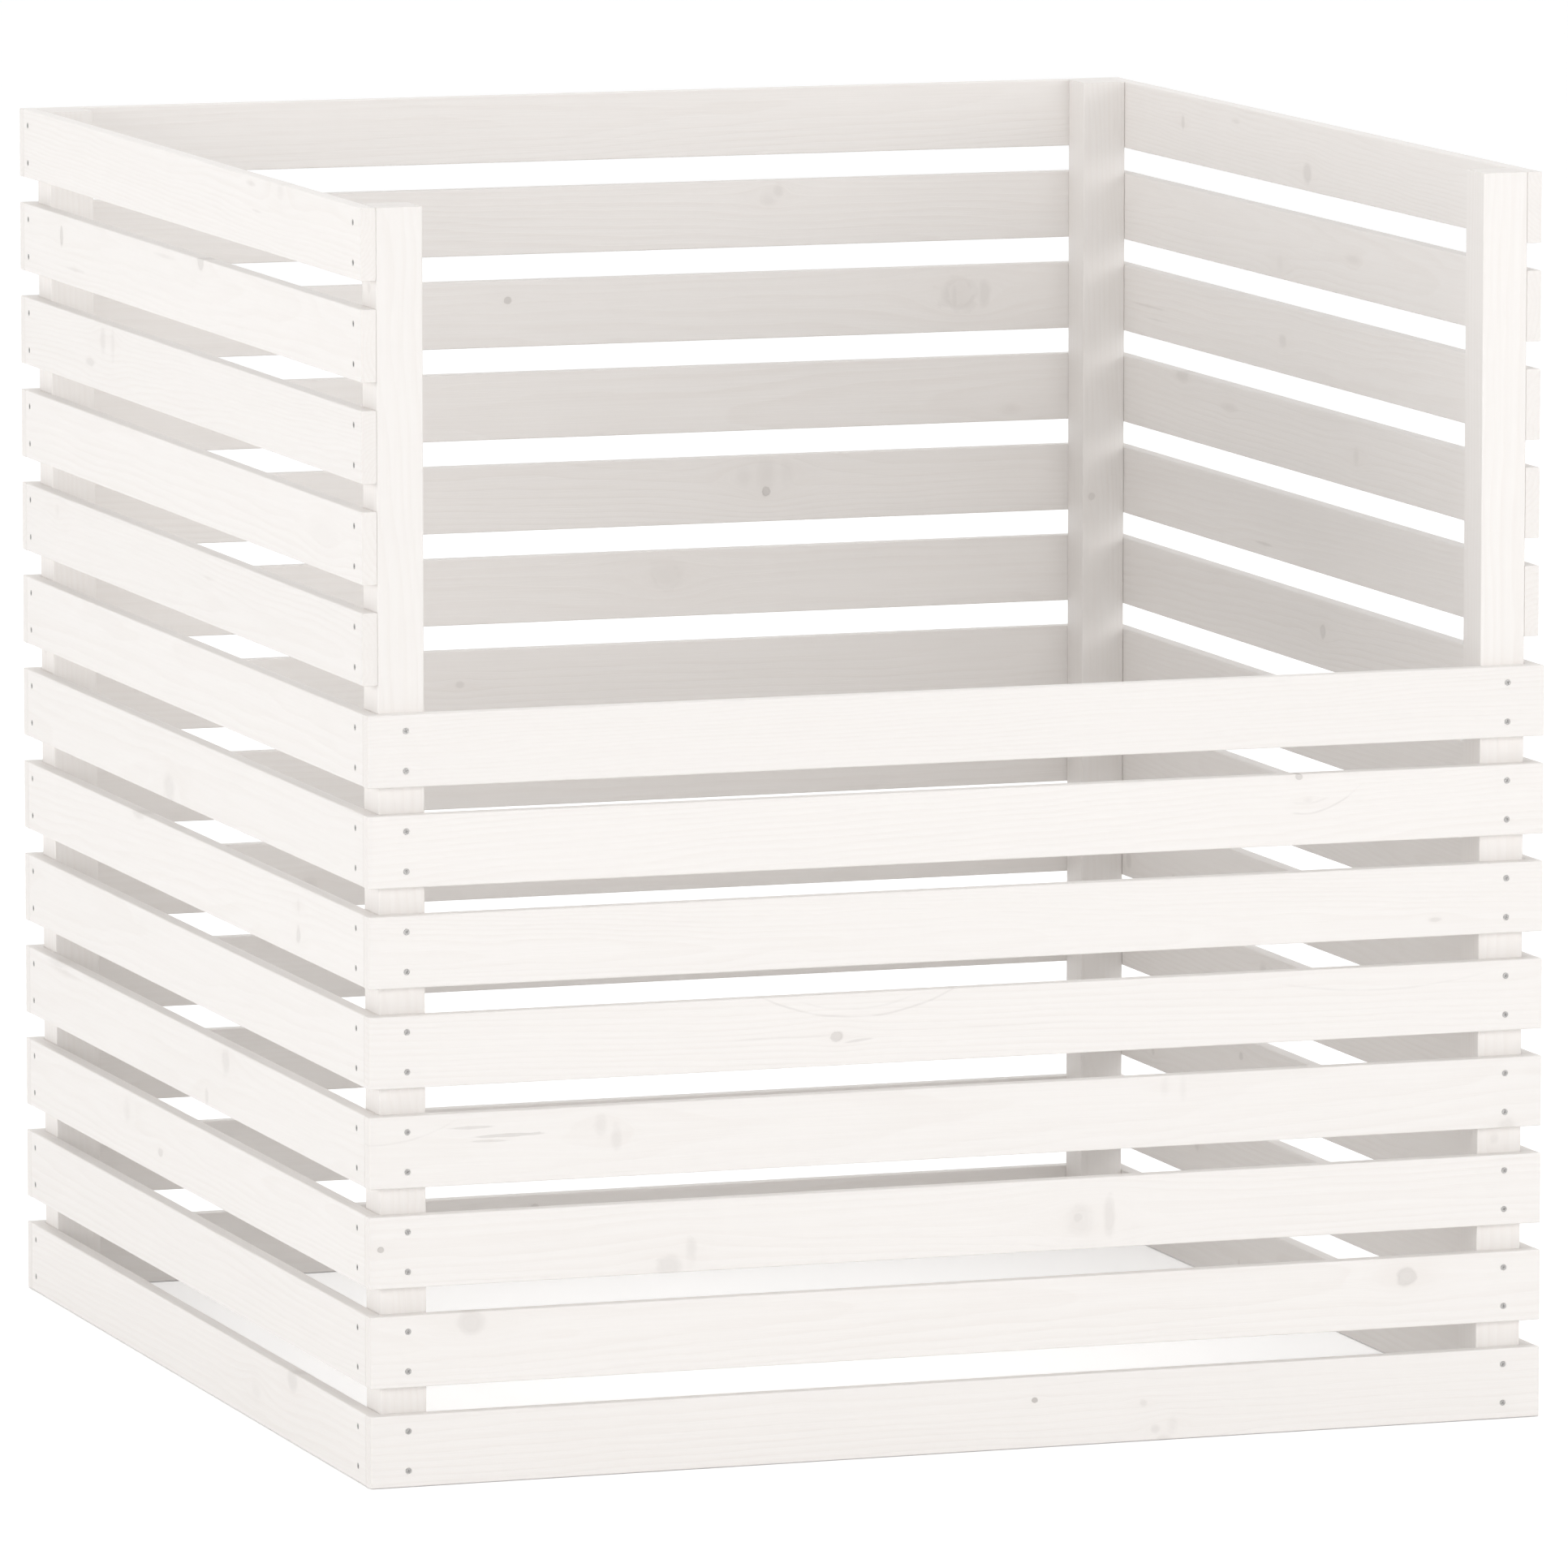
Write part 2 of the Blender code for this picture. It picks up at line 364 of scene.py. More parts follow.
off_pith = do_vectors(tree, "SUBTRACT", given["Board"], pith)
off_pith = do_vectors(tree, "MULTIPLY", off_pith, ACROSS_THE_LOG)
radius = add_node(tree, "ShaderNodeVectorMath", off_pith, operation="LENGTH").outputs["Value"]
wander = stretched_noise(tree, given["Board"], WANDER_FINENESS, given["Shift"])
radius = do_math(tree, "MULTIPLY_ADD", wander, RING_WANDER, radius)
within = do_math(tree, "FRACT", do_math(tree, "DIVIDE", radius, given["Ring Width"]))
late_wood = ramp(tree, within, *LATE_WOOD_GROWS)
late_wood = do_math(tree, "MULTIPLY", late_wood, ramp(tree, within, *LATE_WOOD_ENDS, 1.0, 0.0))
tree.links.new(late_wood, result["Rings"])
streaks = stretched_noise(tree, given["Board"], STREAK_FINENESS, given["Shift"])
tree.links.new(ramp(tree, streaks, *STREAK_BOUNDS), result["Streaks"])
fibres = stretched_noise(tree, given["Board"], FIBRE_FINENESS, given["Shift"], PLAIN_NOISE)
tree.links.new(fibres, result["Fibres"])
clouds = stretched_noise(tree, given["Board"], CLOUD_FINENESS, given["Shift"], PLAIN_NOISE)
tree.links.new(ramp(tree, clouds, *CLOUD_BOUNDS), result["Clouds"])

# Where a board's edges and its cut ends lie, from its half sizes. Sanding left the edges uneven.
RUB_DEPTH = 0.0034
RUB_FINENESS = (60.0, 160.0, 160.0)
EDGE_BAND = (0.0016, 0.0034)
END_BAND = (0.0003, 0.0009)
tree, given, result = start_effect(
    "board_edges",
    {"Board": "Vector", "Half Size": "Vector", "Shift": "Vector"},
    {"Edges": "Float", "Ends": "Float"},
)
folded = do_vectors(tree, "ABSOLUTE", given["Board"])
inside = do_vectors(tree, "SUBTRACT", given["Half Size"], folded)
depth = add_node(tree, "ShaderNodeSeparateXYZ", inside).outputs
least = do_math(tree, "MINIMUM", depth[0], depth[1])
most = do_math(tree, "MAXIMUM", depth[0], depth[1])
to_edge = do_math(tree, "MAXIMUM", least, do_math(tree, "MINIMUM", most, depth[2]))
rubbed = stretched_noise(tree, given["Board"], RUB_FINENESS, given["Shift"])
to_edge = do_math(tree, "MULTIPLY_ADD", rubbed, RUB_DEPTH, to_edge)
tree.links.new(ramp(tree, to_edge, *EDGE_BAND, 1.0, 0.0), result["Edges"])
tree.links.new(ramp(tree, depth[0], *END_BAND, 1.0, 0.0), result["Ends"])

# White paint on pine: two thin coats, through which knots, late wood and rubbed edges show. It
# is thinner in some places than in others, and rougher on fibres and cut ends.
PAINT = (0.848, 0.820, 0.796, 1.0)
WOOD_UNDER_PAINT = (0.58, 0.49, 0.42, 1.0)
KNOT_UNDER_PAINT = (0.33, 0.30, 0.28, 1.0)
KNOTS_SHOW = 0.36
RINGS_SHOW = 0.042
THICK_COAT = 0.55
THIN_COAT_ADDS = 0.9
OTHERS_SHOW = {
    "Streaks": 0.035, "Fibres": 0.030, "Haloes": 0.045, "Edges": 0.014, "Ends": 0.040,
}
PAINT_ROUGHNESS = 0.46
FIBRES_ROUGHEN = 0.14
ENDS_ROUGHEN = 0.15
FIBRES_RISE = 0.5
OTHERS_RISE = {"Rings": 0.45, "Streaks": 0.35, "Knots": -0.7}
tree, given, result = start_effect(
    "thin_white_paint",
    {"Rings": "Float", "Streaks": "Float", "Fibres": "Float", "Clouds": "Float",
     "Knots": "Float", "Haloes": "Float", "Edges": "Float", "Ends": "Float", "Paint": "Color",
     "Wood": "Color", "Knot": "Color"},
    {"Color": "Color", "Roughness": "Float", "Height": "Float"},
)
thinness = do_math(tree, "MULTIPLY_ADD", given["Clouds"], THIN_COAT_ADDS, THICK_COAT)
rings_show = do_math(tree, "MULTIPLY", given["Rings"], RINGS_SHOW)
shows = do_math(tree, "MULTIPLY", rings_show, thinness)
for mask, share in OTHERS_SHOW.items():
    shows = do_math(tree, "MULTIPLY_ADD", given[mask], share, shows)
colour = mix_colours(tree, shows, given["Paint"], given["Wood"])
knots_show = do_math(tree, "MULTIPLY", given["Knots"], KNOTS_SHOW)
tree.links.new(mix_colours(tree, knots_show, colour, given["Knot"]), result["Color"])
roughness = do_math(tree, "MULTIPLY_ADD", given["Fibres"], FIBRES_ROUGHEN, PAINT_ROUGHNESS)
roughness = do_math(tree, "MULTIPLY_ADD", given["Ends"], ENDS_ROUGHEN, roughness)
tree.links.new(roughness, result["Roughness"])
height = do_math(tree, "MULTIPLY", given["Fibres"], FIBRES_RISE)
for mask, rise in OTHERS_RISE.items():
    height = do_math(tree, "MULTIPLY_ADD", given[mask], rise, height)
tree.links.new(height, result["Height"])


def add_effect(tree, name, **values):
    """Places a shared effect in a finish. Underscores in the names of its values are spaces."""
    node = tree.nodes.new("ShaderNodeGroup")
    node.node_tree = bpy.data.node_groups[name]
    for title, value in values.items():
        feed(tree, node.inputs[title.replace("_", " ")], value)
    return node.outputs


# How far the boards differ: their place in the log, its rings and pith, and their coat of paint.
LOG_SPREAD = 60.0
RING_WIDTHS = (0.0026, 0.0052)
PITH_DEPTHS = (0.012, 0.060)
PITH_ACROSS = 0.050
LEAN_THROUGH = 0.025
LEAN_ACROSS = 0.035
PAINT_TONES = (0.985, 1.010)
RELIEF_STRENGTH = 0.35
RELIEF_DEPTH = 0.0004


def painted_pine(name, middle, turned, size, knots, bows=()):
    """The finish of one board, with its own place in the log. Knots lie at (along, across), with
    a radius, a darkness and a stretch along the grain. Bows are lowest at (along, across) and
    have a reach, a rise at its end, the share of the reach that they go left, and a darkness."""
    finish = bpy.data.materials.new(name)
    finish.use_nodes = True
    tree = finish.node_tree
    shader = tree.nodes["Principled BSDF"]
    where = tree.nodes.new("ShaderNodeTexCoord").outputs["Object"]
    mapping = add_node(tree, "ShaderNodeMapping", where, middle, turned, vector_type="TEXTURE")
    board = mapping.outputs[0]
    shift = [draw.uniform(-LOG_SPREAD, LOG_SPREAD) for _ in range(3)]
    edges = add_effect(tree, "board_edges", Board=board, Half_Size=size / 2, Shift=shift)
    bent, marks, haloes = board, 0.0, 0.0
    for along, across, radius, darkness, stretch in knots:
        bent, marks, haloes = add_effect(
            tree, "knot", Board=bent, Along=along, Across=across, Radius=radius,
            Darkness=darkness, Stretch=stretch, Knots=marks, Haloes=haloes,
        ).values()
    for along, across, reach, rise, left_share, darkness in bows:
        marks = add_effect(
            tree, "late_wood_bow", Board=board, Along=along, Across=across, Reach=reach,
            Rise=rise, Left_Share=left_share, Darkness=darkness, Knots=marks,
        )["Knots"]
    ring_width = draw.uniform(*RING_WIDTHS)
    pith_depth = draw.choice((-1, 1)) * draw.uniform(*PITH_DEPTHS)
    pith = (0.0, pith_depth, draw.uniform(-PITH_ACROSS, PITH_ACROSS))
    lean_through = draw.uniform(-LEAN_THROUGH, LEAN_THROUGH)
    lean = (0.0, lean_through, draw.uniform(-LEAN_ACROSS, LEAN_ACROSS))
    grain = add_effect(
        tree, "pine_grain", Board=bent, Shift=shift, Ring_Width=ring_width, Pith=pith, Lean=lean
    )
    tone = draw.uniform(*PAINT_TONES)
    paint = add_effect(
        tree, "thin_white_paint", Rings=grain["Rings"], Streaks=grain["Streaks"],
        Fibres=grain["Fibres"], Clouds=grain["Clouds"], Knots=marks, Haloes=haloes,
        Edges=edges["Edges"], Ends=edges["Ends"],
        Paint=[channel * tone for channel in PAINT[:3]] + [1.0],
        Wood=WOOD_UNDER_PAINT, Knot=KNOT_UNDER_PAINT,
    )
    tree.links.new(paint["Color"], shader.inputs["Base Color"])
    tree.links.new(paint["Roughness"], shader.inputs["Roughness"])
    relief = add_node(tree, "ShaderNodeBump", RELIEF_STRENGTH, RELIEF_DEPTH)
    tree.links.new(paint["Height"], relief.inputs["Height"])
    tree.links.new(relief.outputs[0], shader.inputs["Normal"])
    return finish


END_EASING = 0.0005
ROUNDING_STEPS = 4
EASING_STEPS = 2
SAME_PLACE = 1e-5
CURVE_ANGLE = math.radians(35)


def select_only(thing):
    """Selects one object and makes it the active one."""
    bpy.ops.object.select_all(action="DESELECT")
    thing.select_set(True)
    bpy.context.view_layer.objects.active = thing


def add_board(name, size, middle, rounding):
    """A planed board: a block whose long edges are rounded and whose cut ends are eased."""
    bpy.ops.object.select_all(action="DESELECT")
    bpy.ops.mesh.primitive_cube_add(size=1.0, location=middle, scale=size)
    bpy.ops.object.transform_apply(location=True, rotation=True, scale=True)
    board = bpy.context.object
    board.name = name
    board.data.name = name
    way = max(range(3), key=lambda axis: size[axis])
    bpy.ops.object.mode_set(mode="EDIT")
    bpy.ops.mesh.select_mode(type="EDGE")
    for long_edges, offset, steps in (
        (True, rounding, ROUNDING_STEPS), (False, END_EASING, EASING_STEPS)
    ):
        bpy.ops.mesh.select_all(action="DESELECT")
        shape = bmesh.from_edit_mesh(board.data)
        for edge in shape.edges:
            first, last = (corner.co[way] - middle[way] for corner in edge.verts)
            run = abs(last - first)
            at_end = abs(abs(first) - size[way] / 2) < SAME_PLACE
            if run > size[way] / 2 if long_edges else at_end and run < SAME_PLACE:
                edge.select_set(True)
        bmesh.update_edit_mesh(board.data)
        bpy.ops.mesh.bevel(offset=offset, segments=steps, profile=0.5, affect="EDGES")
    bpy.ops.object.mode_set(mode="OBJECT")
    return board


def smooth_shading(board):
    """Rounds the look of curved strips and keeps broad faces flat."""
    select_only(board)
    bpy.ops.object.shade_smooth_by_angle(angle=CURVE_ANGLE)
    bpy.ops.object.modifier_add(type="WEIGHTED_NORMAL")
    board.modifiers[-1].keep_sharp = True
    bpy.ops.object.modifier_apply(modifier=board.modifiers[-1].name)


KNOTS_FACE_FRONT = (0.0, -math.pi / 2, 0.0)
KNOTS_FACE_SIDE = (0.0, -math.pi / 2, math.pi / 2)
front_inner_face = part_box("front_slat_01")[1].y
right_inner_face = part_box("right_slat_01")[0].x
post_x = right_inner_face - SEAT_GAP - POST_WIDTH / 2
post_y = -front_inner_face - SEAT_GAP - POST_WIDTH / 2
post_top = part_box("post_front_left")[1].z
# Each post's way round in its log, and its knots, which run through it from face to face.
POST_KNOTS = {
    "front_left": (
        KNOTS_FACE_SIDE,
        [(0.476, 0.001, 0.005, 0.7, 0.8), (0.445, 0.0, 0.004, 0.5, 1.0),
         (-0.220, 0.006, 0.005, 0.5, 1.0)],
    ),
    "front_right": (KNOTS_FACE_FRONT, [(-0.280, 0.004, 0.004, 0.4, 1.0)]),
    "back_left": (KNOTS_FACE_SIDE, [(0.050, -0.006, 0.006, 0.6, 1.0)]),
    "back_right": (
        KNOTS_FACE_FRONT, [(0.147, 0.011, 0.003, 0.8, 1.0), (-0.340, 0.005, 0.006, 0.5, 1.0)]
    ),
}
for corner, (turned, knots) in POST_KNOTS.items():
    side_x = 1 if "right" in corner else -1
    side_y = 1 if "back" in corner else -1
    middle = Vector((side_x * post_x, side_y * post_y, post_top / 2))
    upright_size = Vector((POST_WIDTH, POST_WIDTH, post_top))
    post = add_board(f"{corner}_post", upright_size, middle, POST_ROUNDING)
    smooth_shading(post)
    size = Vector((post_top, POST_WIDTH, POST_WIDTH))
    post.data.materials.append(painted_pine(f"paint_{corner}_post", middle, turned, size, knots))
    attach(post, "root")
    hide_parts(f"post_{corner}")


# The slats: planed pine boards in level rows with a gap between them, 13 rows on the left, right
# and back and 8 at the front. Each end has two countersunk holes and is screwed to its post.
ROWS = 13
FRONT_ROWS = 8
SLAT_ROUNDING = 0.0012
HOLE_MOUTH = 0.0028
HOLE_BORE = 0.00155
COUNTERSINK_DEPTH = 0.0016
CUTTER_PROUD = 0.0004
CUTTER_SHANK = 0.02
SCREW_DROP = 0.016
HOLE_SIDES = 24
FRONT_COLUMNS = (-0.4682, 0.4682)
SIDE_COLUMNS = (-0.4659, 0.4750)
FACES_BACK = 0.99


def select_back_end(turned_piece):
    """Goes into edit mode and selects the flat end of a turned piece that faces +Y."""
    bpy.ops.object.mode_set(mode="EDIT")
    bpy.ops.mesh.select_mode(type="FACE")
    bpy.ops.mesh.select_all(action="DESELECT")
    shape = bmesh.from_edit_mesh(turned_piece.data)
    for face in shape.faces:
        face.select_set(face.normal.y > FACES_BACK)
    bmesh.update_edit_mesh(turned_piece.data)


def cut_out(piece, cutter):
    """Takes a cutter's shape out of a piece, and puts the cutter away."""
    bpy.context.view_layer.objects.active = piece
    bpy.ops.object.modifier_add(type="BOOLEAN")
    piece.modifiers[-1].operation = "DIFFERENCE"
    piece.modifiers[-1].object = cutter
    bpy.ops.object.modifier_apply(modifier=piece.modifiers[-1].name)
    bpy.data.objects.remove(cutter, do_unlink=True)


def drill(board, columns, outer_face):
    """Drills and countersinks the screw holes of a board whose outer face looks to -Y."""
    slope = (HOLE_MOUTH - HOLE_BORE) / COUNTERSINK_DEPTH
    deep = COUNTERSINK_DEPTH + CUTTER_PROUD
    for column in columns:
        for drop in (-SCREW_DROP, SCREW_DROP):
            bpy.ops.object.select_all(action="DESELECT")
            bpy.ops.mesh.primitive_cone_add(
                vertices=HOLE_SIDES, radius1=HOLE_MOUTH + slope * CUTTER_PROUD,
                radius2=HOLE_BORE, depth=deep, rotation=(-math.pi / 2, 0.0, 0.0),
                location=(column, outer_face + deep / 2 - CUTTER_PROUD, drop),
            )
            bpy.ops.object.transform_apply(location=True, rotation=True, scale=True)
            drill_bit = bpy.context.object
            select_back_end(drill_bit)
            shank_run = (0.0, CUTTER_SHANK, 0.0)
            bpy.ops.mesh.extrude_region_move(TRANSFORM_OT_translate={"value": shank_run})
            bpy.ops.object.mode_set(mode="OBJECT")
            cut_out(board, drill_bit)


# Knots and streaks of resin on boards that show, by side and row, counted from the ground. Each
# is (along, across, radius, darkness, stretch), with along to the right as seen from outside. A
# row with an empty list has none, and a row that isn't listed gets its knots by chance.
SEEN_KNOTS = {
    "front": {
        1: [(0.061, 0.010, 0.0022, 2.2, 1.0), (0.155, 0.002, 0.0030, 0.5, 1.0),
            (0.165, -0.019, 0.004, 0.5, 1.0), (0.180, -0.017, 0.006, 0.3, 0.7),
            (0.172, -0.024, 0.004, 0.5, 1.5)],
        2: [(-0.416, 0.021, 0.011, 0.6, 1.0), (0.383, 0.013, 0.008, 0.85, 1.0)],
        3: [(-0.491, 0.003, 0.0026, 1.6, 1.0), (-0.250, -0.024, 0.010, 0.6, 1.0),
            (-0.231, -0.015, 0.009, 0.45, 0.5), (0.098, -0.003, 0.004, 0.7, 1.0),
            (0.100, -0.006, 0.0115, 0.4, 1.0), (0.125, -0.004, 0.010, 0.5, 0.45),
            (0.059, -0.026, 0.003, 0.9, 2.0)],
        4: [(-0.415, 0.017, 0.0012, 0.8, 14.0), (-0.385, 0.0095, 0.0014, 1.0, 18.0),
            (-0.400, 0.006, 0.0010, 0.8, 14.0), (-0.307, 0.014, 0.010, 0.42, 0.5),
            (-0.294, 0.004, 0.010, 0.48, 0.45), (0.172, 0.020, 0.009, 0.25, 0.4),
            (0.188, 0.018, 0.010, 0.25, 0.3), (0.470, -0.027, 0.006, 0.5, 1.2)],
        5: [(-0.108, -0.0052, 0.0046, 0.95, 1.0), (-0.090, -0.008, 0.0009, 0.7, 12.0)],
        6: [(0.406, -0.015, 0.0018, 0.6, 3.0)],
        7: [(0.287, 0.027, 0.0028, 1.2, 1.0), (0.295, 0.008, 0.003, 0.3, 1.3)],
        8: [],
    },
    "left": {
        13: [(0.270, 0.024, 0.008, 0.3, 1.2), (0.187, 0.023, 0.0020, 0.5, 6.0),
             (0.203, 0.004, 0.0012, 0.4, 12.0)],
        12: [(-0.371, 0.010, 0.008, 1.0, 0.55), (0.043, 0.0265, 0.008, 0.8, 1.0),
             (-0.063, 0.022, 0.0020, 0.4, 14.0), (-0.330, -0.013, 0.0016, 0.45, 16.0)],
        11: [(-0.286, -0.0075, 0.0035, 0.6, 3.5), (-0.247, 0.014, 0.0114, 0.50, 0.7),
             (-0.217, 0.014, 0.011, 0.35, 0.5)],
        10: [(0.385, 0.002, 0.011, 0.12, 3.5)],
        9: [(0.060, 0.009, 0.0015, 0.3, 12.0), (-0.390, 0.016, 0.006, 0.25, 1.0)],
        8: [],
        7: [(-0.057, -0.018, 0.0114, 0.50, 1.4), (-0.050, -0.025, 0.005, 0.70, 1.6)],
        6: [(0.310, -0.011, 0.006, 0.75, 0.9), (0.310, 0.010, 0.007, 0.3, 0.6),
            (-0.150, 0.027, 0.004, 0.5, 4.0)],
        5: [],
        4: [(-0.375, 0.022, 0.0026, 0.4, 18.0), (-0.400, 0.026, 0.003, 0.5, 10.0),
            (0.103, 0.016, 0.011, 0.55, 0.9), (0.047, -0.018, 0.007, 0.6, 0.7)],
        3: [(-0.189, 0.012, 0.011, 0.35, 0.8), (-0.090, -0.008, 0.0035, 0.8, 1.8)],
        2: [],
        1: [(0.287, 0.023, 0.010, 0.6, 1.3), (0.185, -0.002, 0.008, 0.2, 1.5)],
    },
    "back": {
        13: [],
        12: [(-0.180, 0.019, 0.006, 0.45, 0.8), (-0.171, 0.014, 0.006, 0.35, 1.2)],
        11: [(0.067, 0.012, 0.0028, 1.3, 1.0), (-0.348, 0.004, 0.0135, 0.55, 1.05),
             (-0.343, 0.003, 0.003, 0.5, 1.0), (-0.371, 0.004, 0.005, 0.45, 1.0)],
        10: [(-0.395, -0.018, 0.006, 0.2, 1.5)],
        9: [(-0.169, -0.003, 0.0045, 1.3, 0.8), (-0.148, 0.010, 0.010, 0.22, 0.7),
            (-0.188, 0.012, 0.011, 0.22, 0.5), (-0.169, 0.010, 0.010, 0.28, 0.8)],
        8: [(-0.077, 0.007, 0.0130, 0.30, 1.0)],
    },
    "right": {
        13: [(0.305, 0.005, 0.006, 0.6, 0.6), (0.177, 0.016, 0.0020, 0.4, 5.0),
             (0.007, -0.014, 0.009, 0.65, 1.0)],
        12: [(-0.100, 0.003, 0.004, 0.35, 4.0), (0.070, -0.016, 0.008, 0.2, 1.0)],
        11: [(0.390, -0.002, 0.0012, 0.5, 30.0), (0.370, -0.012, 0.0010, 0.4, 30.0),
             (0.063, -0.001, 0.006, 0.5, 1.4)],
        10: [(0.305, 0.026, 0.006, 0.5, 2.5), (0.190, 0.010, 0.004, 0.4, 5.0),
             (-0.110, -0.002, 0.008, 0.35, 0.8)],
        9: [(0.105, -0.0185, 0.0014, 0.6, 14.0)],
        8: [(-0.035, 0.003, 0.006, 0.8, 1.0)],
    },
}
# Bows of late wood, in the same way: (along, across, reach, rise, left share, darkness).
SEEN_BOWS = {
    "front": {
        4: [(-0.492, 0.0050, 0.078, 0.0260, 1.0, 0.24)],
        5: [(-0.090, 0.0085, 0.105, 0.0320, 1.0, 0.48), (-0.092, 0.0150, 0.060, 0.0125, 1.0, 0.20),
            (0.360, 0.0085, 0.105, 0.0130, 1.0, 0.28), (-0.153, -0.0055, 0.050, 0.0, 1.0, 0.26),
            (0.050, -0.0045, 0.060, 0.0, 1.0, 0.14)],
        7: [(0.292, -0.0048, 0.055, 0.0270, 0.25, 0.50), (0.292, 0.0040, 0.024, 0.0050, 0.5, 0.30)],
    },
}
# Each side: its turn, its number of rows and where its two columns of screws stand.
SIDES = {
    "front": (0.0, FRONT_ROWS, FRONT_COLUMNS),
    "back": (math.pi, ROWS, FRONT_COLUMNS),
    "right": (math.pi / 2, ROWS, SIDE_COLUMNS),
    "left": (-math.pi / 2, ROWS, tuple(-column for column in SIDE_COLUMNS)),
}
# What chance gives a board: how many knots, how far out, and their radii and looks.
KNOT_COUNTS = (0, 1, 2, 3)
KNOT_SHARE_OUT = 0.45
KNOT_OUT_ACROSS = 0.024
KNOT_RADII = (0.003, 0.009)
KNOT_DARKNESSES = (0.3, 0.9)
KNOT_STRETCHES = (0.6, 1.2)


def chance_knots(length):
    """Up to three knots for a board whose own aren't known."""
    return [
        (draw.uniform(-KNOT_SHARE_OUT, KNOT_SHARE_OUT) * length,
         draw.uniform(-KNOT_OUT_ACROSS, KNOT_OUT_ACROSS), draw.uniform(*KNOT_RADII),
         draw.uniform(*KNOT_DARKNESSES), draw.uniform(*KNOT_STRETCHES))
        for _ in range(draw.choice(KNOT_COUNTS))
    ]


for side, (turn, rows, columns) in SIDES.items():
    low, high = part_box(f"{side}_slat_01")
    length = max(high.x - low.x, high.y - low.y)
    thickness = min(high.x - low.x, high.y - low.y)
    size = Vector((length, thickness, high.z - low.z))
    pattern = add_board(f"{side}_pattern", size, Vector((0.0, 0.0, 0.0)), SLAT_ROUNDING)
    drill(pattern, columns, -thickness / 2)
    smooth_shading(pattern)
    for row in range(1, rows + 1):
        node = f"{side}_slat_{row:02d}"
        middle = sum(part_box(node), Vector()) / 2
        turned = (0.0, 0.0, turn)
        slat = pattern.copy()
        slat.data = pattern.data.copy()
        slat.name = f"slat_{side}_{row:02d}"
        slat.data.name = slat.name
        bpy.context.scene.collection.objects.link(slat)
        slat.location = middle
        slat.rotation_euler = turned
        select_only(slat)
        bpy.ops.object.transform_apply(location=True, rotation=True, scale=True)
        knots = SEEN_KNOTS[side].get(row)
        if knots is None:
            knots = chance_knots(length)
        bows = SEEN_BOWS.get(side, {}).get(row, ())
        paint = painted_pine(f"paint_{side}_{row:02d}", middle, turned, size, knots, bows)
        slat.data.materials.clear()
        slat.data.materials.append(paint)
        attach(slat, "root")
        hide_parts(node)
    bpy.data.objects.remove(pattern, do_unlink=True)


# The screws: small zinc-plated countersunk screws with a cross recess, two in each end of each
# slat. Their heads lie just below the wood, and each was stopped at its own turn.
HEAD_RADIUS = 0.00235
HEAD_RIM = 0.00025
HEAD_TAPER = 0.0012
HEAD_SIDES = 12
HEAD_RECESS = 0.0002
RECESS_VARIES = 0.00012
SHANK_RADIUS = 0.00125
SHANK_LENGTH = 0.0205
STRAIGHT_SHARE = 0.85
POINT_SHARE = 0.15
POINT_NARROWING = 0.25
CROSS_LENGTH = 0.0027
CROSS_WIDTH = 0.00062
CROSS_DEPTH = 0.0009
RIM_ANGLE = math.radians(30)
ZINC = (0.425, 0.417, 0.409, 1.0)
ZINC_BLOOM = (0.305, 0.297, 0.289, 1.0)
BLOOM_FINENESS = 900.0
BLOOM_DETAIL = 3.0
BLOOM_COARSENESS = 0.6
BLOOM_BOUNDS = (0.35, 0.7)
ROUGH_BOUNDS = (0.2, 0.8)
ZINC_ROUGHNESS = (0.32, 0.55)

bpy.ops.object.select_all(action="DESELECT")
bpy.ops.mesh.primitive_cylinder_add(
    vertices=HEAD_SIDES, radius=HEAD_RADIUS, depth=HEAD_RIM,
    location=(0.0, HEAD_RIM / 2, 0.0), rotation=(-math.pi / 2, 0.0, 0.0),
)
bpy.ops.object.transform_apply(location=True, rotation=True, scale=True)
screw = bpy.context.object
select_back_end(screw)
shank_length = SHANK_LENGTH - HEAD_RIM - HEAD_TAPER
for step, narrowing in (
    (HEAD_TAPER, SHANK_RADIUS / HEAD_RADIUS), (shank_length * STRAIGHT_SHARE, 1.0),
    (shank_length * POINT_SHARE, POINT_NARROWING),
):
    bpy.ops.mesh.extrude_region_move(TRANSFORM_OT_translate={"value": (0.0, step, 0.0)})
    narrowed = (narrowing, 1.0, narrowing)
    bpy.ops.transform.resize(value=narrowed, center_override=(0.0, 0.0, 0.0))
bpy.ops.object.mode_set(mode="OBJECT")
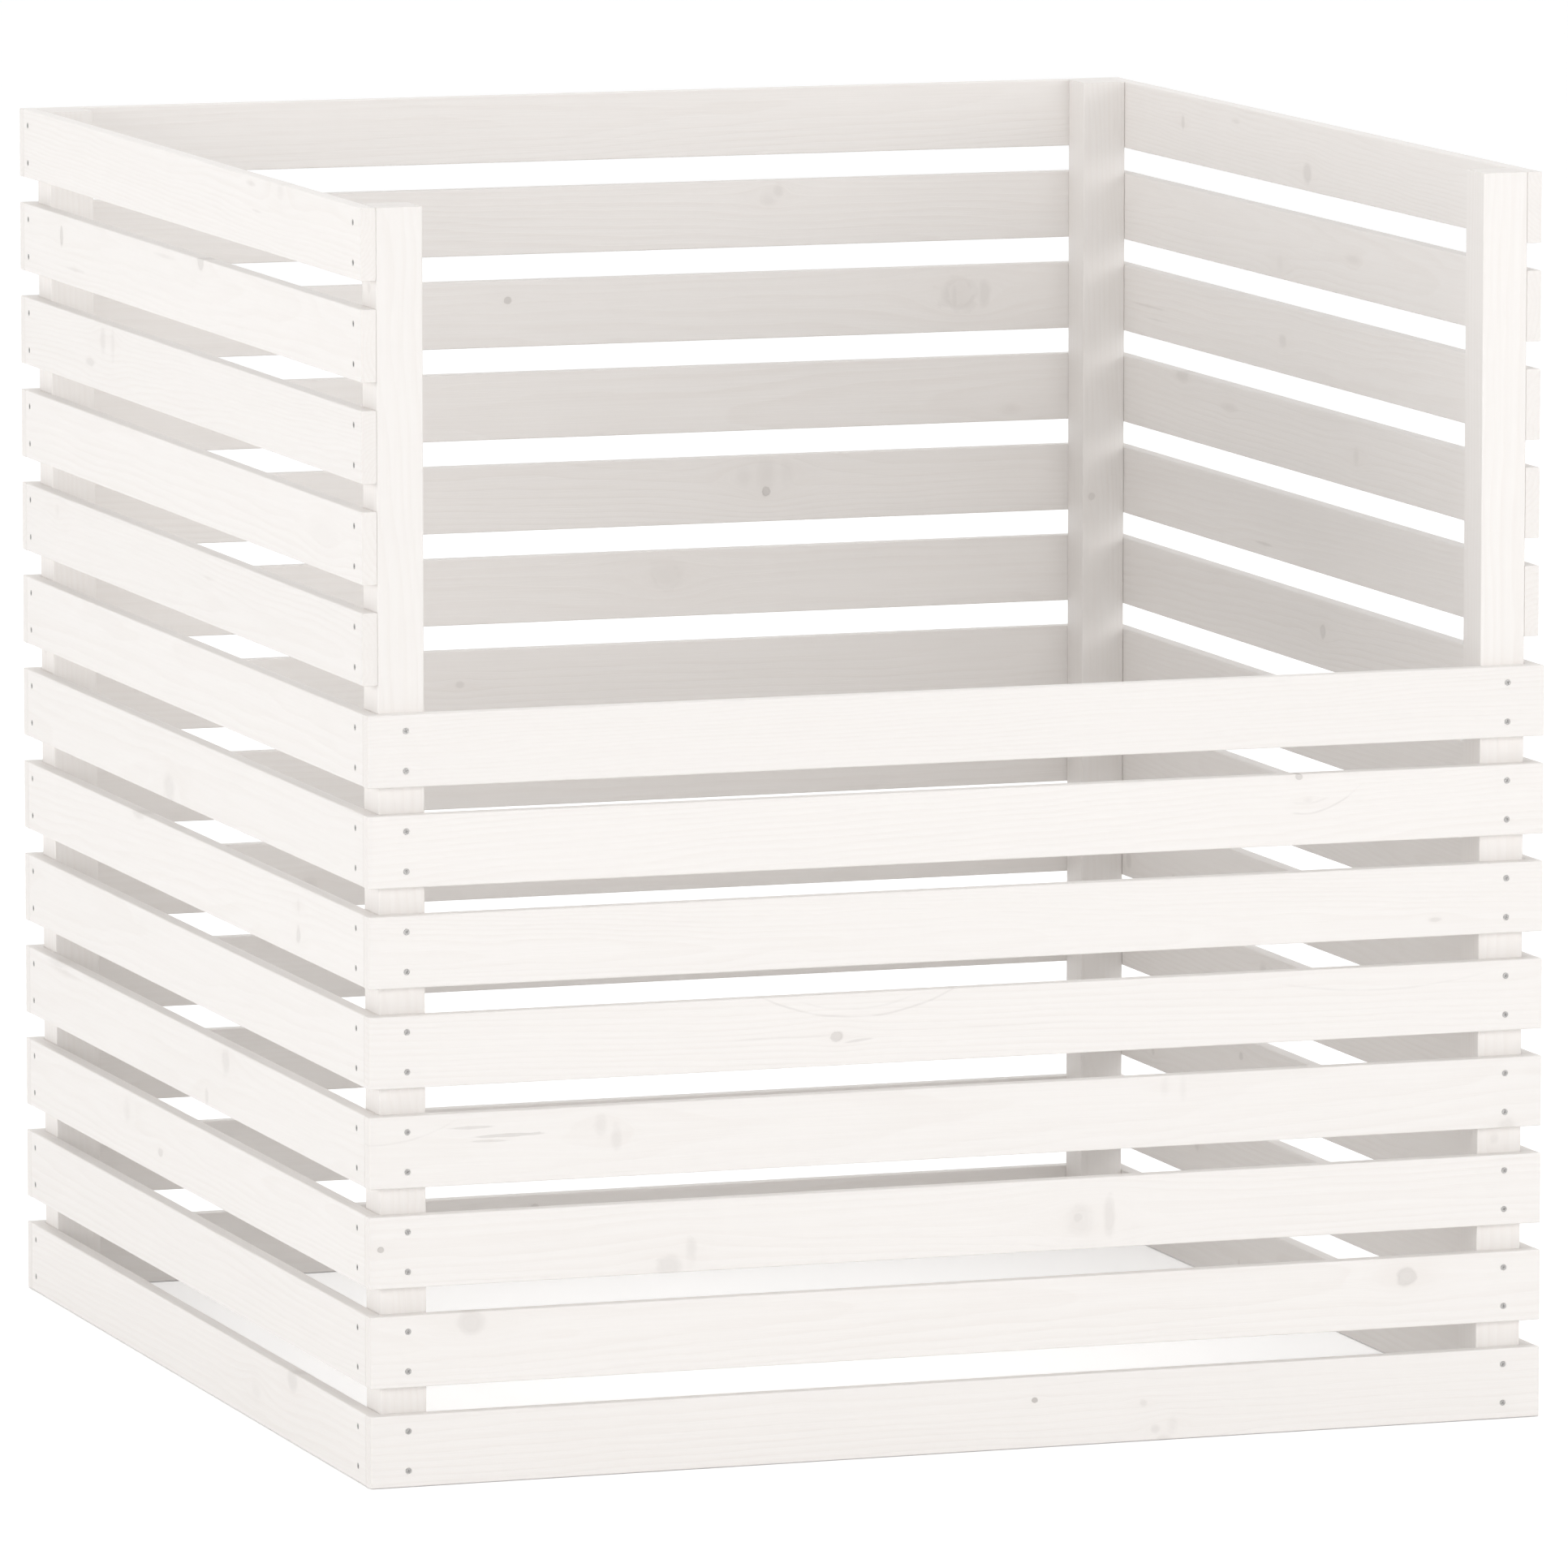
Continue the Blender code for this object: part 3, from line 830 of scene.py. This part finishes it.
for wide, high in ((CROSS_LENGTH, CROSS_WIDTH), (CROSS_WIDTH, CROSS_LENGTH)):
    bpy.ops.object.select_all(action="DESELECT")
    bpy.ops.mesh.primitive_cube_add(size=1.0, scale=(wide, 2 * CROSS_DEPTH, high))
    cut_out(screw, bpy.context.object)

zinc = bpy.data.materials.new("zinc_plating")
zinc.use_nodes = True
tree = zinc.node_tree
shader = tree.nodes["Principled BSDF"]
shader.inputs["Metallic"].default_value = 1.0
where = tree.nodes.new("ShaderNodeTexCoord").outputs["Object"]
bloom = add_node(
    tree, "ShaderNodeTexNoise", where, None, BLOOM_FINENESS, BLOOM_DETAIL, BLOOM_COARSENESS
).outputs[0]
bloom_share = ramp(tree, bloom, *BLOOM_BOUNDS)
tree.links.new(mix_colours(tree, bloom_share, ZINC, ZINC_BLOOM), shader.inputs["Base Color"])
roughness = ramp(tree, bloom, *ROUGH_BOUNDS, *ZINC_ROUGHNESS)
tree.links.new(roughness, shader.inputs["Roughness"])
screw.data.materials.append(zinc)

for side, (turn, rows, columns) in SIDES.items():
    low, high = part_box(f"{side}_slat_01")
    if side in ("left", "right"):
        out = max(abs(low.x), abs(high.x))
    else:
        out = max(abs(low.y), abs(high.y))
    side_turned = Euler((0.0, 0.0, turn))
    for column in columns:
        heads = []
        for row in range(1, rows + 1):
            low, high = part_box(f"{side}_slat_{row:02d}")
            for drop in (-SCREW_DROP, SCREW_DROP):
                head = screw.copy()
                head.data = screw.data.copy()
                bpy.context.scene.collection.objects.link(head)
                sunk = HEAD_RECESS + draw.uniform(0.0, RECESS_VARIES)
                place = Vector((column, -out + sunk, (low.z + high.z) / 2 + drop))
                place.rotate(side_turned)
                head.location = place
                head.rotation_euler = Euler((0.0, draw.uniform(0.0, math.pi), 0.0))
                head.rotation_euler.rotate(side_turned)
                heads.append(head)
        select_only(heads[0])
        for head in heads:
            head.select_set(True)
        bpy.ops.object.join()
        bpy.ops.object.transform_apply(location=True, rotation=True, scale=True)
        row_of_screws = bpy.context.object
        row_of_screws.name = f"screws_{side}_{'left' if column < 0 else 'right'}"
        row_of_screws.data.name = row_of_screws.name
        bpy.ops.object.shade_smooth_by_angle(angle=RIM_ANGLE)
        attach(row_of_screws, "root")
bpy.data.objects.remove(screw, do_unlink=True)
